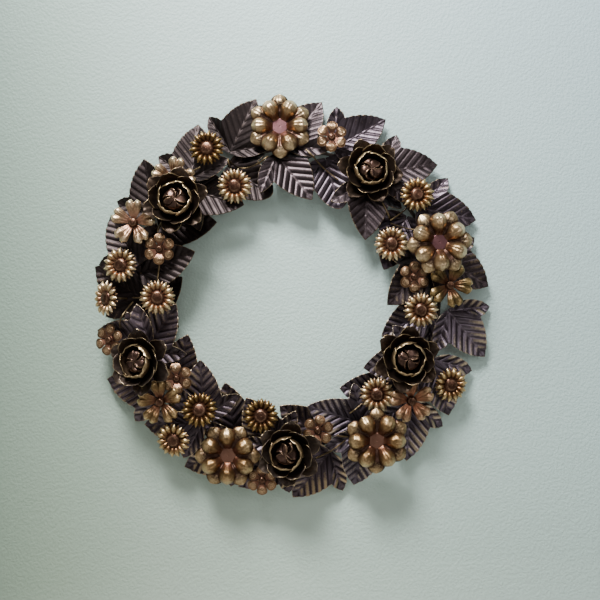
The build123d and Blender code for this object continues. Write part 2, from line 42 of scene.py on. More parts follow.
# Where every pressed piece sits: base point, direction of its first rib or
# petal, and the direction it faces, in millimetres (the CAD's own values).
LEAVES = {
    1: (((-5.286, -22.898, -12.314), (0.602308, 0.139173, 0.786038), (-0.054473, -0.975224, 0.21441)),
        ((-19.153, -20.462, -22.048), (0.597106, -0.173648, -0.783142), (0.034403, -0.969846, 0.241277))),
    2: (((62.615, -13.376, -12.602), (0.86768, 0.034899, 0.495896), (-0.021733, -0.993916, 0.107975)),
        ((50.195, -8.4, -26.829), (0.257389, -0.173648, -0.950577), (-0.045385, -0.984808, 0.167612))),
    3: (((125.673, -19.613, -46.496), (0.987017, 0.087156, 0.134916), (0.061524, -0.98106, 0.183673)),
        ((108.153, -20.962, -60.804), (-0.044994, -0.173648, -0.983779), (0.18128, -0.969846, 0.162898))),
    4: (((181.102, -12.745, -96.262), (0.979005, 0.034899, -0.200827), (0.055005, -0.993916, 0.095422)),
        ((164.503, -8.4, -108.737), (-0.40018, -0.173648, -0.899834), (0.070563, -0.984808, 0.158665))),
    5: (((208.077, -19.113, -164.696), (0.86111, 0.087156, -0.500892), (0.161504, -0.98106, 0.106945)),
        ((192.435, -19.847, -174.108), (-0.690022, -0.173648, -0.702649), (0.243717, -0.969846, 0.000344))),
    6: (((222.839, -12.868, -241.165), (0.624692, 0.034899, -0.780091), (0.103287, -0.993916, 0.038246)),
        ((200.258, -8.4, -238.402), (-0.870712, -0.173648, -0.460115), (0.15353, -0.984808, 0.081131))),
    7: (((200.003, -19.761, -309.032), (0.284657, 0.087156, -0.954659), (0.190934, -0.98106, -0.032634)),
        ((182.363, -20.1, -304.39), (-0.967176, -0.173648, -0.185518), (0.20066, -0.969846, -0.138324))),
    8: (((168.454, -11.672, -369.326), (-0.053585, -0.017452, -0.998411), (0.17432, -0.984658, 0.007856)),
        ((150.616, -8.4, -357.135), (-0.979667, -0.173648, 0.100498), (0.172742, -0.984808, -0.01772))),
    9: (((105.175, -34.74, -406.832), (-0.184578, 0.241922, -0.952578), (0.056851, -0.96498, -0.256088)),
        ((101.679, -22.344, -398.94), (-0.930423, -0.173648, 0.322736), (0.128905, -0.979413, -0.155351))),
    10: (((56.145, -16.743, -438.802), (-0.627376, 0.034899, -0.777934), (0.113594, -0.984208, -0.135762)),
        ((49.88, -8.951, -424.342), (-0.772788, -0.173648, 0.610446), (0.136263, -0.984808, -0.107638))),
    11: (((-6.765, -33.692, -436.81), (-0.784408, 0.139173, -0.604429), (-0.002577, -0.975224, -0.221206)),
        ((-19.862, -22.645, -431.953), (-0.487245, -0.173648, 0.855826), (-0.005394, -0.979413, -0.201795))),
    12: (((-70.564, -16.536, -431.633), (-0.936927, 0.034899, -0.347779), (0.028207, -0.984208, -0.174755)),
        ((-75.34, -8.951, -421.854), (-0.181087, -0.173648, 0.968015), (0.031931, -0.984808, -0.170687))),
    13: (((-120.3, -37.568, -394.213), (-0.988453, 0.139173, -0.059924), (-0.1263, -0.975224, -0.181624)),
        ((-121.141, -25.849, -390.101), (-0.026191, -0.173648, 0.984459), (-0.047706, -0.983458, -0.174741))),
    14: (((-177.242, -18.515, -355.553), (-0.971972, 0.087156, 0.218344), (-0.121804, -0.98106, -0.150614)),
        ((-166.268, -8.951, -352.447), (0.284882, -0.173648, 0.942703), (-0.050232, -0.984808, -0.166224))),
    15: (((-190.571, -43.851, -288.526), (-0.938012, 0.241922, 0.248208), (-0.27474, -0.955555, -0.106926)),
        ((-203.263, -27.298, -298.326), (0.565675, -0.173648, 0.806138), (-0.099744, -0.984808, -0.142144))),
    16: (((-206.328, -23.504, -224.538), (-0.825407, 0.139173, 0.547114), (-0.21018, -0.975224, -0.069015)),
        ((-213.479, -8.951, -245.584), (0.758847, -0.173648, 0.627692), (-0.133805, -0.984808, -0.110679))),
    17: (((-207.507, -43.357, -175.706), (-0.513359, 0.241922, 0.823369), (-0.273404, -0.955555, 0.110297)),
        ((-206.659, -32.1, -188.496), (0.920695, -0.173648, 0.349524), (-0.180696, -0.983458, -0.012617))),
    18: (((-189.983, -15.44, -108.889), (-0.189536, 0.034899, 0.981253), (-0.177015, -0.984208, 0.000813)),
        ((-183.99, -8.951, -122.534), (0.982759, -0.173648, 0.063488), (-0.173287, -0.984808, -0.011195))),
    19: (((-137.09, -38.117, -60.013), (0.100574, 0.241922, 0.965069), (-0.148018, -0.955555, 0.254962)),
        ((-141.824, -25.782, -71.99), (0.945746, -0.173648, -0.274609), (-0.166761, -0.984808, 0.048421))),
    20: (((-84.282, -13.407, -16.93), (0.434231, 0.034899, 0.900125), (-0.141467, -0.984208, 0.106405)),
        ((-87.319, -8.764, -38.783), (0.823914, -0.173648, -0.539456), (-0.145278, -0.984808, 0.095121))),
}
ROSES = [
    ((-154.087, -53.705, -91.735), (0.944226, -0.03231, 0.327708), (-0.052264, -0.997265, 0.052264)),
    ((110.328, -24.51, -47.797), (0.642397, 0.062463, 0.763822), (0.034852, -0.998023, 0.052304)),
    ((158.701, -48.341, -305.907), (0.92662, 0.019245, 0.375507), (0.034878, -0.998783, -0.034878)),
    ((-0.925, -38.824, -434.835), (0.913545, -0.028373, 0.405746), (0, -0.997564, -0.069756)),
    ((-199.548, -48.381, -310.05), (0.777677, -0.222995, 0.587785), (-0.275637, -0.961262, 0)),
]
BLOSSOMS = [
    ((-14.277, -25.589, 15.64), (1, -0, 0), (0, -0.997564, 0.069756)),
    ((203.355, -54.179, -147.339), (0.817157, 0.057141, 0.573576), (0.069756, -0.997564, 0)),
    ((118.844, -47.485, -418.02), (0.998636, 0.052082, 0.003642), (0.052209, -0.996204, -0.069661)),
    ((-85.467, -38.386, -439.816), (0.8655, -0.064955, 0.496679), (-0.034815, -0.996959, -0.069714)),
]
NOTCHED = {
    "notched_flowers_1": [((-212.957, -51.826, -120.265), (0.086824, 0.02718, 0.995853), (-0.087103, -0.995592, 0.034767)), ((-159.599, -42.053, -60.403), (0.173648, -0, 0.984808), (0, -1, 0))],
    "notched_flower_2": [((219.391, -44.075, -205.004), (0.340152, -0.013526, 0.940273), (0.104387, -0.993174, -0.05205))],
    "notched_flower_3": [((167.033, -42.107, -363.851), (0.905075, 0.010239, 0.425128), (0.052137, -0.99484, -0.087037))],
    "notched_flower_4": [((-177.367, -47.044, -365.283), (-0.086826, -0.061932, 0.994297), (-0.086945, -0.993786, -0.069492))],
}
RINGED = {
    "ringed_flowers_left": [((-177.339, -52.267, -156.254), (0.881738, -0.04621, 0.469472), (-0.052336, -0.99863, 0)), ((-248.618, -38.303, -280.736), (0.871565, -0.326564, 0.365691), (-0.373822, -0.925241, 0.064699)), ((-155.009, -45.722, -333.48), (0.818032, 0.072773, 0.57055), (0.052264, -0.997265, 0.052264))],
    "ringed_flowers_right": [((57.976, -31.155, 0.276), (0.891007, 0.039568, 0.452263), (0, -0.996195, 0.087156)), ((171.812, -36.511, -193.999), (0.861281, 0.090524, 0.5), (0.104528, -0.994522, 0))],
    "ringed_flowers_bottom": [((38.735, -38.655, -405.814), (0.939693, -0, 0.34202), (0, -1, 0)), ((-38.439, -33.659, -474.399), (0.866025, -0.069587, 0.495134), (0, -0.990268, -0.139173))],
}
DAISIES = {
    "daisies_top": [((-113.971, -42.325, -17.45), (0.992126, -0.057692, 0.111168), (-0.069376, -0.992126, 0.104277)), ((-75.538, -44.406, -69.594), (0.998636, 0.052082, 0.003642), (0.052209, -0.996204, -0.069661))],
    "daisies_left": [((-231.704, -44.544, -178.028), (0.963313, -0.198449, 0.180684), (-0.207791, -0.977577, 0.034138)), ((-249.267, -48.627, -223.484), (0.764995, -0.641907, 0.052336), (-0.642788, -0.766044, 0)), ((-180.401, -50.89, -222.409), (0.987856, 0.069078, 0.139173), (0.069756, -0.997564, 0))],
    "daisies_right": [((176.432, -30.094, -79.657), (0.975776, 0.082404, 0.202657), (0.069587, -0.995146, 0.069587)), ((140.463, -39.438, -148.514), (0.993771, -0.066365, 0.089526), (-0.069714, -0.996959, 0.034815)), ((180.385, -39.554, -239.694), (1, -0, 0), (0, -0.99863, -0.052336))],
    "daisies_low_right": [((120.443, -36.908, -356.262), (0.986338, -0.043363, 0.158922), (-0.052264, -0.997265, 0.052264)), ((223.639, -24.437, -343.802), (0.96807, 0.235327, 0.086382), (0.241367, -0.96807, -0.067694))],
    "daisies_low_left": [((-39.529, -42.898, -384.94), (0.981627, 0.01331, 0.190344), (0, -0.997564, 0.069756)), ((-122.728, -52.609, -375.693), (0.998818, 0.041281, 0.025675), (0.033864, -0.969739, 0.241783)), ((-159.998, -38.549, -418.534), (0.964284, -0.255368, 0.070312), (-0.236935, -0.950295, -0.201991))],
}

# ------------------------------------------------------------------ helpers
def smooth(xs, ys, x):
    """Monotone cubic through the table (xs, ys)."""
    xs = np.asarray(xs, float); ys = np.asarray(ys, float); x = np.asarray(x, float)
    h = np.diff(xs); d = np.diff(ys) / h
    m = np.zeros_like(xs)
    m[1:-1] = np.where(d[:-1] * d[1:] > 0, 2 * d[:-1] * d[1:] / (d[:-1] + d[1:] + 1e-12), 0.0)
    m[0] = d[0]; m[-1] = d[-1]
    i = np.clip(np.searchsorted(xs, x) - 1, 0, len(h) - 1)
    t = np.clip((x - xs[i]) / h[i], 0, 1)
    return ((2 * t**3 - 3 * t**2 + 1) * ys[i] + (t**3 - 2 * t**2 + t) * h[i] * m[i]
            + (-2 * t**3 + 3 * t**2) * ys[i + 1] + (t**3 - t**2) * h[i] * m[i + 1])


def sstep(a, b, x):
    t = np.clip((np.asarray(x, float) - a) / (b - a), 0, 1)
    return t * t * (3 - 2 * t)


class Sheet:
    """Collects grids of points into one mesh, with wear and root values."""
    def __init__(self):
        self.v, self.f, self.wear, self.root, self.mi, self.n = [], [], [], [], [], 0

    def grid(self, P, wear, root, face, wrap=False, mi=0):
        nu, nv, _ = P.shape
        a = np.arange(nu * nv).reshape(nu, nv) + self.n
        if wrap:
            a = np.concatenate([a, a[:, :1]], axis=1)
        q = np.stack([a[:-1, :-1], a[1:, :-1], a[1:, 1:], a[:-1, 1:]], axis=-1).reshape(-1, 4)
        # make the faces look the way the piece faces
        i, j = nu // 2, nv // 2
        i = min(i, nu - 2); j = min(j, nv - 2)
        c = np.cross(P[i + 1, j] - P[i, j], P[i, j + 1] - P[i, j])
        if float(np.dot(c, face)) < 0:
            q = q[:, ::-1]
        self.v.append(P.reshape(-1, 3)); self.f.append(q); self.mi.append(np.full(len(q), mi))
        self.wear.append(np.clip(np.broadcast_to(wear, (nu, nv)), 0, 1).reshape(-1))
        self.root.append(np.clip(np.broadcast_to(root, (nu, nv)), 0, 1).reshape(-1))
        self.n += nu * nv

    def build(self, name, node, mat, thick=0.7, extra=(), more=(), shift=0):
        v = np.concatenate(self.v) * MM
        f = np.concatenate(self.f)
        me = bpy.data.meshes.new(name)
        me.from_pydata(v.tolist(), [], f.tolist())
        for nm, arr in (("wear", self.wear), ("root", self.root)):
            at = me.attributes.new(nm, "FLOAT", "POINT")
            at.data.foreach_set("value", np.concatenate(arr).astype(np.float32))
        me.polygons.foreach_set("use_smooth", [True] * len(me.polygons))
        me.materials.append(mat)
        if more:
            for mm in more:
                me.materials.append(mm)
            me.polygons.foreach_set("material_index", np.concatenate(self.mi).astype(np.int32))
        ob = bpy.data.objects.new(name, me)
        bpy.context.scene.collection.objects.link(ob)
        if thick:
            m = ob.modifiers.new("sheet", "SOLIDIFY")
            m.thickness = thick * MM
            m.offset = -1.0
            m.use_even_offset = False
            m.material_offset = shift
            for bm in extra:
                me.materials.append(bm)
                m.material_offset = 1
        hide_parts(*([node] if isinstance(node, str) else node))
        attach(ob, "root")
        return ob


def axes(x, n):
    x = np.array(x, float); n = np.array(n, float)
    n /= np.linalg.norm(n); x = x - n * x.dot(n); x /= np.linalg.norm(x)
    return x, np.cross(n, x), n


def place(P, o, X, Y, N):
    return np.array(o, float) + P[..., :1] * X + P[..., 1:2] * Y + P[..., 2:3] * N


# ------------------------------------------------------------------ materials
def nodes_for(name):
    m = bpy.data.materials.new(name)
    m.use_nodes = True
    nt = m.node_tree
    nt.nodes.clear()
    out = nt.nodes.new("ShaderNodeOutputMaterial")
    bs = nt.nodes.new("ShaderNodeBsdfPrincipled")
    nt.links.new(bs.outputs[0], out.inputs[0])
    return m, nt, bs


def noise(nt, scale, detail=4.0, rough=0.55, dist=0.0):
    tc = nt.nodes.new("ShaderNodeTexCoord")
    n = nt.nodes.new("ShaderNodeTexNoise")
    n.inputs["Scale"].default_value = scale
    n.inputs["Detail"].default_value = detail
    n.inputs["Roughness"].default_value = rough
    n.inputs["Distortion"].default_value = dist
    nt.links.new(tc.outputs["Object"], n.inputs["Vector"])
    return n.outputs["Fac"]


def ramp(nt, src, stops):
    r = nt.nodes.new("ShaderNodeValToRGB")
    cr = r.color_ramp
    while len(cr.elements) > 2:
        cr.elements.remove(cr.elements[-1])
    cr.elements[0].position, cr.elements[0].color = stops[0][0], stops[0][1]
    cr.elements[1].position, cr.elements[1].color = stops[-1][0], stops[-1][1]
    for p, c in stops[1:-1]:
        e = cr.elements.new(p)
        e.color = c
    nt.links.new(src, r.inputs[0])
    return r.outputs[0]


def mix(nt, fac, a, b, mode="MIX"):
    x = nt.nodes.new("ShaderNodeMix")
    x.data_type = "RGBA"
    x.blend_type = mode
    for val, sock in ((fac, x.inputs[0]), (a, x.inputs[6]), (b, x.inputs[7])):
        if hasattr(val, "links"):
            nt.links.new(val, sock)
        else:
            sock.default_value = val
    return x.outputs[2]


def mth(nt, op, a, b=0.5, clamp=False):
    x = nt.nodes.new("ShaderNodeMath")
    x.operation = op
    x.use_clamp = clamp
    for val, sock in ((a, x.inputs[0]), (b, x.inputs[1])):
        if hasattr(val, "links"):
            nt.links.new(val, sock)
        else:
            sock.default_value = val
    return x.outputs[0]


def rgb(r, g, b):
    return (r, g, b, 1.0)


def antique(name, dark, mid, gold, copper, rough=0.36, wear_gain=1.0, metallic=0.9, dirt=0.5, root_gain=1.0, grain=0.5):
    """Plated sheet metal: dark patina in the hollows, brushed gold on the
    worn ribs and rims, copper towards the petal roots; on the blossoms the
    root mask also paints shade along the petal sides and on the rear petals."""
    m, nt, bs = nodes_for(name)
    wear = nt.nodes.new("ShaderNodeAttribute"); wear.attribute_name = "wear"
    root = nt.nodes.new("ShaderNodeAttribute"); root.attribute_name = "root"
    cloud = noise(nt, 38.0, 5.0, 0.6, 0.6)
    fine = noise(nt, 420.0, 6.0, 0.62, 0.2)
    speck = noise(nt, 1500.0, 3.0, 0.5)
    body = mix(nt, ramp(nt, cloud, [(0.32, rgb(0, 0, 0)), (0.68, rgb(1, 1, 1))]), dark, mid)
    rf = mth(nt, "MULTIPLY", root.outputs["Fac"], mth(nt, "MULTIPLY", cloud, 1.7 * root_gain), True)
    body = mix(nt, rf, body, copper)
    wbreak = mth(nt, "ADD", mth(nt, "MULTIPLY", fine, 0.9), -0.45)
    w2 = mth(nt, "ADD", mth(nt, "MULTIPLY", wear.outputs["Fac"], wear_gain), wbreak)
    wf = ramp(nt, w2, [(0.18, rgb(0, 0, 0)), (0.72, rgb(1, 1, 1))])
    col = mix(nt, wf, body, gold)
    sp = ramp(nt, speck, [(0.30, rgb(0.55, 0.5, 0.46)), (0.46, rgb(1, 1, 1))])
    col = mix(nt, dirt, col, mix(nt, 1.0, col, sp, "MULTIPLY"))
    nt.links.new(col, bs.inputs["Base Color"])
    bs.inputs["Metallic"].default_value = metallic
    rr = mth(nt, "ADD", mth(nt, "MULTIPLY", fine, 0.34), rough - 0.17)
    rr = mth(nt, "SUBTRACT", rr, mth(nt, "MULTIPLY", wf, 0.06))
    nt.links.new(rr, bs.inputs["Roughness"])
    hgt = mth(nt, "ADD", mth(nt, "MULTIPLY", fine, 0.7), mth(nt, "MULTIPLY", speck, 0.3))
    bp = nt.nodes.new("ShaderNodeBump")
    bp.inputs["Strength"].default_value = grain
    bp.inputs["Distance"].default_value = 0.00035
    nt.links.new(hgt, bp.inputs["Height"])
    nt.links.new(bp.outputs[0], bs.inputs["Normal"])
    return m


M_LEAF = antique("leaf_gunmetal", rgb(0.030, 0.021, 0.025), rgb(0.086, 0.064, 0.077), rgb(0.42, 0.30, 0.17), rgb(0.024, 0.017, 0.019), rough=0.36, wear_gain=0.88, root_gain=1.3)
# painted shade and painted light: a darker copy of the leaf gunmetal for the upper-left leaves, lighter copies for the
# right and bottom leaves
M_LEAF_SHADED = antique("leaf_gunmetal_painted_shade", rgb(0.018, 0.0125, 0.0120), rgb(0.042, 0.0300, 0.0285), rgb(0.30, 0.205, 0.11), rgb(0.018, 0.0125, 0.012), rough=0.42, wear_gain=0.85, root_gain=1.3)
M_LEAF_LIT = antique("leaf_gunmetal_painted_light", rgb(0.050, 0.037, 0.045), rgb(0.180, 0.140, 0.168), rgb(0.58, 0.45, 0.31), rgb(0.028, 0.020, 0.024), rough=0.37, wear_gain=0.92, root_gain=1.3)
M_LEAF_LOW_LIT = antique("leaf_gunmetal_painted_light_low", rgb(0.046, 0.032, 0.037), rgb(0.140, 0.103, 0.118), rgb(0.50, 0.36, 0.21), rgb(0.024, 0.017, 0.019), rough=0.38, wear_gain=1.05, root_gain=1.4)
M_LEAF_IN = antique("leaf_bronze", rgb(0.029, 0.020, 0.021), rgb(0.080, 0.059, 0.063), rgb(0.42, 0.30, 0.17), rgb(0.024, 0.016, 0.016), rough=0.36, wear_gain=0.88, root_gain=1.3)
M_ROSE = antique("rose_dark", rgb(0.028, 0.0185, 0.0135), rgb(0.088, 0.057, 0.040), rgb(0.36, 0.25, 0.135), rgb(0.030, 0.0175, 0.0135), rough=0.42, wear_gain=0.84, root_gain=0.8)
# painted light: a lighter copy of the dark rose metal
M_ROSE_LIT = antique("rose_dark_painted_light", rgb(0.036, 0.025, 0.021), rgb(0.120, 0.085, 0.066), rgb(0.42, 0.30, 0.17), rgb(0.036, 0.023, 0.018), rough=0.40, wear_gain=0.86, root_gain=0.8)
M_ROSE_CUP = antique("rose_cup_bronze", rgb(0.050, 0.030, 0.019), rgb(0.150, 0.093, 0.052), rgb(0.40, 0.27, 0.145), rgb(0.045, 0.026, 0.018), rough=0.42, wear_gain=0.76, root_gain=1.4)
# petal backs: gold plating colour, made much lighter than the fronts, partly painted light on the backs
M_ROSE_BACK_LIT = antique("rose_back_gold_painted_light", rgb(0.11, 0.066, 0.034), rgb(0.24, 0.160, 0.084), rgb(0.58, 0.42, 0.23), rgb(0.16, 0.09, 0.05), rough=0.36, wear_gain=0.8, root_gain=0.5)
M_BUD = antique("rose_bud", rgb(0.040, 0.022, 0.017), rgb(0.110, 0.060, 0.044), rgb(0.32, 0.20, 0.115), rgb(0.022, 0.0125, 0.0105), rough=0.32, wear_gain=0.75, root_gain=1.6)
M_BLOS = antique("blossom_champagne", rgb(0.18, 0.100, 0.045), rgb(0.38, 0.245, 0.125), rgb(0.72, 0.535, 0.325), rgb(0.15, 0.068, 0.038), rough=0.36, wear_gain=0.72, root_gain=1.35)
# painted shade: copies of the blossom metals whose root colour is near black, for the rear petals under the front layer
M_BLOS_R_SHADED = antique("blossom_rear_champagne_painted_shade", rgb(0.18, 0.105, 0.048), rgb(0.37, 0.245, 0.125), rgb(0.70, 0.52, 0.31), rgb(0.055, 0.027, 0.018), rough=0.37, wear_gain=0.68, root_gain=2.2)
M_HEX_A = antique("blossom_heart_rose", rgb(0.115, 0.048, 0.050), rgb(0.195, 0.090, 0.094), rgb(0.32, 0.18, 0.175), rgb(0.115, 0.048, 0.050), rough=0.46, wear_gain=0.4)
M_BLOS_B = antique("blossom_antique", rgb(0.125, 0.066, 0.026), rgb(0.27, 0.158, 0.068), rgb(0.60, 0.415, 0.215), rgb(0.15, 0.062, 0.036), rough=0.37, wear_gain=0.70, root_gain=1.35)
M_BLOS_BR_SHADED = antique("blossom_rear_antique_painted_shade", rgb(0.13, 0.073, 0.031), rgb(0.28, 0.172, 0.078), rgb(0.60, 0.42, 0.23), rgb(0.050, 0.024, 0.016), rough=0.38, wear_gain=0.66, root_gain=2.2)
M_HEX_B = antique("blossom_heart_copper", rgb(0.20, 0.095, 0.065), rgb(0.32, 0.16, 0.11), rgb(0.50, 0.30, 0.20), rgb(0.20, 0.095, 0.065), rough=0.42, wear_gain=0.4)
M_NOTCH = [
    antique("notched_champagne", rgb(0.25, 0.145, 0.080), rgb(0.40, 0.265, 0.155), rgb(0.72, 0.54, 0.34), rgb(0.34, 0.155, 0.10), rough=0.34, wear_gain=0.85, root_gain=1.0),
    antique("notched_olive", rgb(0.07, 0.045, 0.018), rgb(0.15, 0.098, 0.038), rgb(0.44, 0.29, 0.125), rgb(0.13, 0.052, 0.028), rough=0.38, wear_gain=0.8, root_gain=1.1),
    antique("notched_copper", rgb(0.16, 0.08, 0.045), rgb(0.30, 0.16, 0.085), rgb(0.68, 0.44, 0.25), rgb(0.30, 0.11, 0.06), rough=0.38, wear_gain=0.8),
    antique("notched_gold", rgb(0.12, 0.068, 0.028), rgb(0.25, 0.150, 0.065), rgb(0.60, 0.41, 0.20), rgb(0.16, 0.066, 0.038), rough=0.36, wear_gain=0.8, root_gain=1.1)]
M_RING = antique("ringed_gold", rgb(0.105, 0.052, 0.027), rgb(0.25, 0.138, 0.072), rgb(0.62, 0.42, 0.24), rgb(0.15, 0.066, 0.042), rough=0.33, wear_gain=0.75, root_gain=1.1)
M_DAISY = antique("daisy_gold", rgb(0.17, 0.095, 0.035), rgb(0.36, 0.22, 0.09), rgb(0.72, 0.52, 0.26), rgb(0.20, 0.09, 0.045), rough=0.36, wear_gain=0.75)
M_DAISY_B = antique("daisy_olive", rgb(0.075, 0.040, 0.014), rgb(0.165, 0.092, 0.030), rgb(0.46, 0.29, 0.105), rgb(0.085, 0.036, 0.016), rough=0.37, wear_gain=0.60)
M_DAISY_P = antique("daisy_champagne", rgb(0.25, 0.155, 0.07), rgb(0.47, 0.32, 0.16), rgb(0.82, 0.62, 0.37), rgb(0.26, 0.12, 0.07), rough=0.35, wear_gain=0.75)
M_BOSS = antique("boss_copper", rgb(0.065, 0.029, 0.018), rgb(0.150, 0.068, 0.042), rgb(0.44, 0.26, 0.155), rgb(0.065, 0.029, 0.018), rough=0.31, wear_gain=0.6)


def plain_metal(name, dark, mid, hi, rough):
    m, nt, bs = nodes_for(name)
    cloud = noise(nt, 60.0, 5.0, 0.6, 0.5)
    fine = noise(nt, 700.0, 5.0, 0.6)
    col = ramp(nt, cloud, [(0.30, dark), (0.55, mid), (0.78, hi)])
    sp = ramp(nt, fine, [(0.34, rgb(0.5, 0.45, 0.42)), (0.5, rgb(1, 1, 1))])
    nt.links.new(mix(nt, 0.7, col, mix(nt, 1.0, col, sp, "MULTIPLY")), bs.inputs["Base Color"])
    bs.inputs["Metallic"].default_value = 0.9
    nt.links.new(mth(nt, "ADD", mth(nt, "MULTIPLY", fine, 0.35), rough - 0.17), bs.inputs["Roughness"])
    bp = nt.nodes.new("ShaderNodeBump")
    bp.inputs["Strength"].default_value = 0.5
    bp.inputs["Distance"].default_value = 0.0003
    nt.links.new(fine, bp.inputs["Height"])
    nt.links.new(bp.outputs[0], bs.inputs["Normal"])
    return m


M_WIRE = plain_metal("stem_wire_gold", rgb(0.06, 0.040, 0.024), rgb(0.17, 0.115, 0.058), rgb(0.46, 0.33, 0.165), 0.36)
M_BAR = plain_metal("hoop_bronze", rgb(0.03, 0.024, 0.022), rgb(0.075, 0.058, 0.050), rgb(0.17, 0.12, 0.08), 0.44)

# ------------------------------------------------------------------ leaves
TM = math.tan(math.radians(16)); TO = math.tan(math.radians(17))
SIN_A = math.atan2(0.345, 0.40); SA = math.radians(57)
TS = TM * math.sin(SIN_A) / math.sin(SA - SIN_A)
EDGE = [(1.0, 0), (0.935, 0.064), (0.865, 0.130), (0.79, 0.186), (0.66, 0.262), (0.53, 0.310), (0.40, 0.345)]
SIDE_IN = [(0.60, 0.110), (0.68, 0.050), (0.73, 0.0)]
SIDE_OUT = [(0.68, -0.046), (0.58, -0.108), (0.42, -0.155), (0.25, -0.155), (0.11, -0.11), (0.02, -0.045)]


def polar_outline():
    pts = list(EDGE)
    for a, t in SIDE_IN + SIDE_OUT:
        pts.append((a * math.cos(SA) + t * math.sin(SA), a * math.sin(SA) - t * math.cos(SA)))
    out = []
    for (ax, ay), (bx, by) in zip(pts, pts[1:]):
        for f in np.linspace(0, 1, 14, endpoint=False):
            x, y = ax + (bx - ax) * f, ay + (by - ay) * f
            out.append((math.atan2(y, x), math.hypot(x, y)))
    x, y = pts[-1]
    out.append((math.atan2(y, x), math.hypot(x, y))); out.append((math.radians(158), 0.018))
    out.sort()
    return np.array([p[0] for p in out]), np.array([p[1] for p in out])


PHI, RHO = polar_outline()


def pleat(ph):
    # rounded pressed ridges with narrow valleys between them
    s = np.abs(np.sin(np.pi * ph))
    return 1.0 - (1.0 - s) ** 1.5


def leaf_grid(seed, gilt_and_light):
    rng = np.random.RandomState(seed)
    # ray angles, closer together round the lobe tips
    half = np.unique(np.concatenate([
        np.radians(np.linspace(0, 12, 16)), np.radians(np.linspace(12, 40.8, 38)),
        np.radians(np.linspace(40.8, 52, 16)), np.radians(np.linspace(52, 62, 16)),
        np.radians(np.linspace(62, 104, 30)), np.radians(np.linspace(104, 150, 9))]).round(6))
    phi = np.concatenate([-half[::-1][:-1], half])
    a = np.abs(phi)
    rho = np.interp(a, PHI, RHO)
    u = np.linspace(0.018, 1.0, 52)
    A, U = np.meshgrid(a, u, indexing="ij")
    S = np.sign(phi)[:, None] + (phi[:, None] == 0)
    x1 = 0.0 + rho[:, None] * U * np.cos(A)
    y1 = rho[:, None] * U * np.sin(A)
    c, s = math.cos(SA), math.sin(SA)
    al = x1 * c + y1 * s
    tt = x1 * s - y1 * c
    main = A < SIN_A
    tb = 1 / math.tan(math.radians(43))
    ph_m = (x1 - y1 * tb) / 0.148 + 0.30
    ph_s = (al - np.abs(tt) * tb) / 0.150 + 0.35
    win = sstep(0.0, 0.05, np.abs(A - SIN_A) * U * rho[:, None])
    edge_in = sstep(0.02, 0.10, U * rho[:, None])
    tip_m = 1 - 0.75 * sstep(0.80, 1.0, x1)
    tip_s = 1 - 0.75 * sstep(0.56, 0.73, al)
    rm = pleat(ph_m) * tip_m
    rs = pleat(ph_s) * tip_s
    dist_rib = np.where(main, y1, np.abs(tt))
    ribwin = sstep(0.0, 0.030, dist_rib)
    rid = np.where(main, rm, rs)
    amp = (1.22 + 0.80 * gilt_and_light) * win * edge_in * (0.25 + 0.75 * ribwin)
    corr = (rid - 0.62) * amp
    base = np.where(main, y1 * TM, np.where(tt >= 0, tt * TS, -tt * TO)) * LEAF * 1.10
    # soft rounding of the rib's valley, with a raised wire-thin midrib in it
    base = np.sqrt(base**2 + 0.30) - 0.55
    # the rim follows the pleats: little teeth where the ridges run out
    tooth = 1 + 0.012 * (rid - 0.5) * sstep(0.80, 1.0, U)
    X = x1 * LEAF * tooth
    Y = y1 * LEAF * tooth * S
    wob = 0.7 * np.sin(X * 0.075 + rng.uniform(0, 6)) * np.sin(Y * 0.09 + rng.uniform(0, 6))
    Z = base + corr + wob * 0.6
    mid = np.exp(-(dist_rib * LEAF / 0.9) ** 2)
    Z = Z + 0.5 * mid * sstep(0.05, 0.15, U * rho[:, None])
    rim = sstep(0.35, 0.95, U)
    # gold on the ridge tops is rubbed wear; its scale by the leaf's place on the ring adds painted light and painted
    # shade
    wear = (0.08 + 0.95 * gilt_and_light * rim * rng.uniform(0.45, 1.0) * (0.75 + 0.25 * S)) * np.clip((rid - 0.72) / 0.28, 0, 1) * win * ribwin + 0.45 * sstep(0.972, 1.0, U) + 0.16 * mid
    root = np.maximum(0.45 * (1 - sstep(0.05, 0.45, U * rho[:, None])), 0.95 * (1 - sstep(0.10, 0.62, rid)) * win * (0.3 + 0.7 * ribwin) * (0.45 + 0.55 * gilt_and_light))
    return np.stack([X, Y, Z], -1), wear, root


def curl(P, amount, start=0.72):
    # rolls the main tip over, towards the viewer and back
    Q = P.copy()
    x = P[..., 0] / LEAF
    k = np.clip(x - start, 0, None) / (1 - start)
    ang = k * amount
    r = (1 - start) * LEAF / max(amount, 1e-3)
    on = x > start
    Q[..., 0] = np.where(on, start * LEAF + (r - P[..., 2] * 0.5) * np.sin(ang), P[..., 0])
    Q[..., 2] = np.where(on, P[..., 2] * np.cos(ang) + r * (1 - np.cos(ang)), P[..., 2])
    return Q


def leaf_metal(o, k):
    # lit and shaded copies of one gunmetal, chosen by where the leaf sits: painted shade on the upper-left leaves,
    # painted light on the right and bottom ones
    a = math.degrees(math.atan2(o[2] + 223, o[0]))
    if a > 98 or a < -172:
        return M_LEAF_SHADED
    if -62 < a < 12:
        return M_LEAF_LIT
    if a <= -62:
        return M_LEAF_LOW_LIT
    return M_LEAF if k % 2 == 0 else M_LEAF_IN


